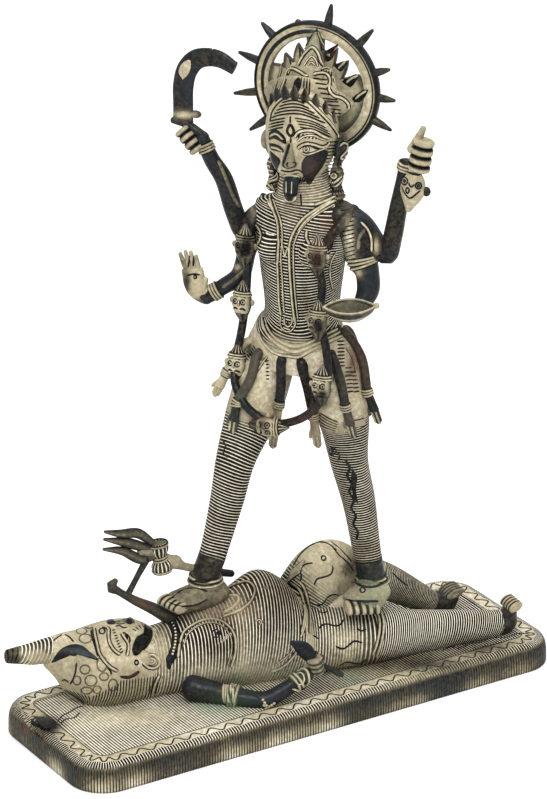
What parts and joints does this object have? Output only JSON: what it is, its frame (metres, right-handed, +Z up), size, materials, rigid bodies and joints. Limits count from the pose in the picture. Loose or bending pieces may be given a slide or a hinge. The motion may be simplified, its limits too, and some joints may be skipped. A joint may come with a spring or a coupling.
{
  "type": "kali figure",
  "caption": "Cast brass figure of a many-armed goddess with halo and sickle, standing on a lying figure on an oblong plinth.",
  "frame": {"origin": "middle of the plinth's flat underside", "axes": "+Z up, +X along the plinth from the lying figure's head to his feet, -Y towards the side the casting is seen from"},
  "size_m": [0.3184, 0.1374, 0.4071],
  "materials": {
    "patinated_brass": "wax-thread ribs, near-black in the grooves, tan clay wash on the broad forms, dark polish on plain limbs, a little verdigris"
  },
  "bodies": {
    "root": {"kali_shiva_casting": "patinated_brass"}
  },
  "joints": []
}
